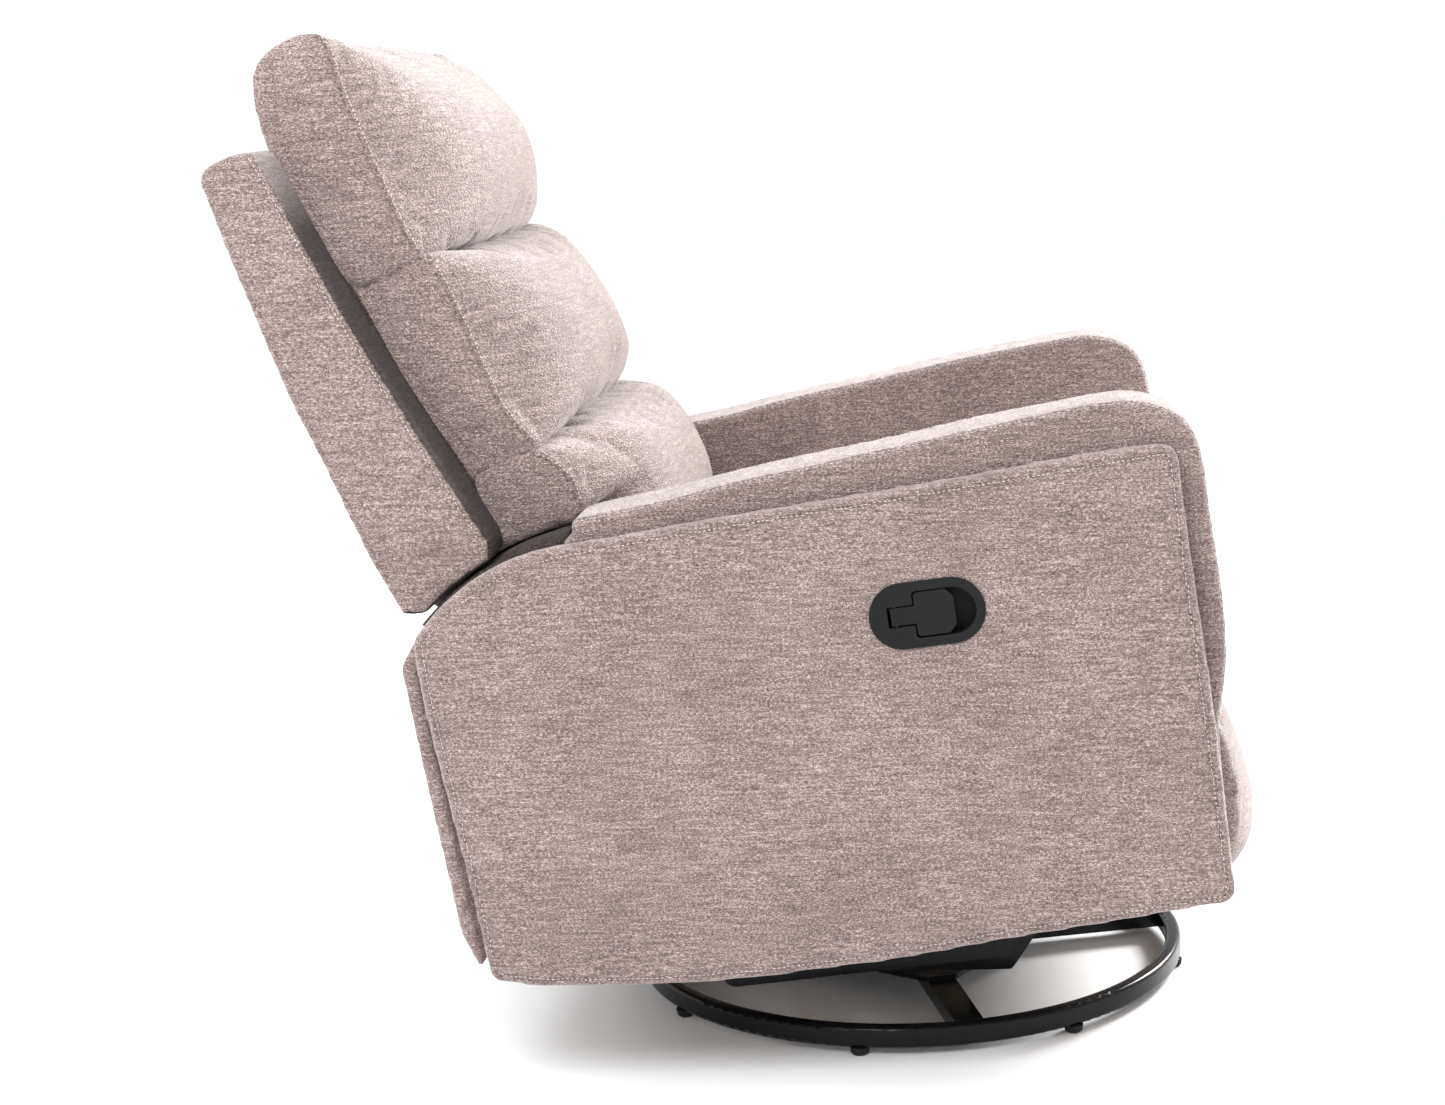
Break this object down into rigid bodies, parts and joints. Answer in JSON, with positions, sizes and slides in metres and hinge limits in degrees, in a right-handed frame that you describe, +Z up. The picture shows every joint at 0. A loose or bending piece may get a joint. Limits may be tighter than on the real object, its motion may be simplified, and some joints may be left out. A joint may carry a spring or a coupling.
{
  "type": "glider nursery chair",
  "caption": "Upholstered swivel glider recliner with a lift-out footrest, side release handle and round floor base.",
  "frame": {"origin": "centre of the floor ring on the swivel axis, at floor level", "axes": "+Z up, the chair faces -Y, the occupant's right hand and the release handle are on the -X side"},
  "size_m": [0.779, 0.9843, 1.0331],
  "materials": {
    "upholstery": "heathered chenille",
    "black_steel": "gloss powder coat",
    "zinc_steel": "zinc plated",
    "rubber": "matte",
    "nylon": "satin",
    "black_plastic": "matte moulded",
    "plywood": "raw",
    "webbing": "woven elastic"
  },
  "bodies": {
    "base": {"base_ring": "black_steel", "base_spokes": "black_steel", "hub_plate": "black_steel", "floor_glides": "rubber", "lower_race": "zinc_steel", "hub_bolts": "zinc_steel"},
    "carriage": {"upper_race": "zinc_steel", "bearing_balls": "zinc_steel", "swivel_pin": "zinc_steel", "carriage_frame": "black_steel", "carriage_side_left": "black_steel", "carriage_side_right": "black_steel", "carriage_bolts": "zinc_steel", "glide_bumpers": "rubber", "upper_pivot_pins": "black_steel"},
    "rear_links": {"rear_glide_links": "black_steel", "rear_link_bushings": "nylon"},
    "front_links": {"front_glide_links": "black_steel", "front_link_bushings": "nylon"},
    "seat": {"seat_rail_left": "black_steel", "seat_rail_right": "black_steel", "mechanism_plate_left": "zinc_steel", "mechanism_plate_right": "zinc_steel", "cross_tubes": "black_steel", "lower_pivot_pins": "black_steel", "deck_frame": "plywood", "seat_springs": "zinc_steel", "seat_cushion": "upholstery", "arm_frame_left": "plywood", "arm_frame_right": "plywood", "arm_pad_left": "upholstery", "arm_pad_right": "upholstery", "side_panel_left": "upholstery", "side_panel_right": "upholstery", "rear_panel": "upholstery", "handle_bezel": "black_plastic", "paddle_pin": "zinc_steel", "release_cable": "black_plastic", "recline_pins": "black_steel", "mechanism_rivets": "zinc_steel"},
    "paddle": {"handle_paddle": "black_plastic"},
    "latch": {"latch_pawl": "zinc_steel"},
    "backrest": {"back_frame": "plywood", "back_webbing": "webbing", "back_slab": "upholstery", "headrest_cushion": "upholstery", "middle_cushion": "upholstery", "lower_back_cushion": "upholstery", "recline_plates": "black_steel"},
    "swing_front": {"footrest_front_links": "zinc_steel"},
    "swing_rear": {"footrest_rear_links": "zinc_steel", "footrest_torque_tube": "black_steel"},
    "carrier": {"footrest_carrier_links": "zinc_steel", "carrier_rivets": "zinc_steel"},
    "steer": {"footrest_steer_links": "zinc_steel", "steer_rivets": "zinc_steel"},
    "footrest": {"footrest_brackets": "zinc_steel", "footrest_board": "plywood", "footrest_pad": "upholstery"}
  },
  "joints": [
    {"name": "swivel", "type": "hinge", "parent": "base", "child": "carriage", "pos_m": [0, 0, 0], "axis": [0, 0, 1], "continuous": true},
    {"name": "glide", "type": "hinge", "parent": "carriage", "child": "rear_links", "pos_m": [0, 0.15997, 0.16798], "axis": [-1, 0, 0], "range_deg": [0, 34]},
    {"name": "seat_level", "type": "hinge", "parent": "rear_links", "child": "seat", "pos_m": [0, 0.16918, 0.05917], "axis": [-1, 0, 0], "range_deg": [-43, 0]},
    {"name": "front_swing", "type": "hinge", "parent": "carriage", "child": "front_links", "pos_m": [0, -0.16002, 0.16799], "axis": [-1, 0, 0], "range_deg": [0, 38.3]},
    {"name": "recline", "type": "hinge", "parent": "seat", "child": "backrest", "pos_m": [0, 0.26159, 0.31096], "axis": [-1, 0, 0], "range_deg": [0, 26]},
    {"name": "footrest", "type": "hinge", "parent": "seat", "child": "swing_front", "pos_m": [0, -0.0249, 0.31996], "axis": [-1, 0, 0], "range_deg": [0, 84]},
    {"name": "rear_swing", "type": "hinge", "parent": "seat", "child": "swing_rear", "pos_m": [0, 0.02088, 0.31547], "axis": [-1, 0, 0], "range_deg": [0, 84]},
    {"name": "carrier_pivot", "type": "hinge", "parent": "swing_front", "child": "carrier", "pos_m": [0, 0.00532, 0.13744], "axis": [-1, 0, 0], "range_deg": [-84, 0]},
    {"name": "steer_pivot", "type": "hinge", "parent": "swing_rear", "child": "steer", "pos_m": [0, 0.0518, 0.18111], "axis": [-1, 0, 0], "range_deg": [-84, 0]},
    {"name": "footrest_tip", "type": "hinge", "parent": "carrier", "child": "footrest", "pos_m": [0, -0.26773, 0.24128], "axis": [-1, 0, 0], "range_deg": [0, 84]},
    {"name": "release", "type": "hinge", "parent": "seat", "child": "paddle", "pos_m": [-0.384, -0.01026, 0.46924], "axis": [0, -0.0976, -0.9952], "range_deg": [0, 28], "stiffness_Nm_per_rad": 0.2, "springref_deg": -11.46},
    {"name": "latch_release", "type": "hinge", "parent": "seat", "child": "latch", "pos_m": [0, 0.10351, 0.29732], "axis": [-1, 0, 0], "range_deg": [0, 14]}
  ],
  "couplings": [
    {"joint": "seat_level", "follows": "glide", "ratio": -1.2595},
    {"joint": "front_swing", "follows": "glide", "ratio": 1.123},
    {"joint": "rear_swing", "follows": "footrest", "ratio": 1},
    {"joint": "carrier_pivot", "follows": "footrest", "ratio": -1},
    {"joint": "steer_pivot", "follows": "footrest", "ratio": -1},
    {"joint": "footrest_tip", "follows": "footrest", "ratio": 1},
    {"joint": "latch_release", "follows": "release", "ratio": 0.5}
  ]
}
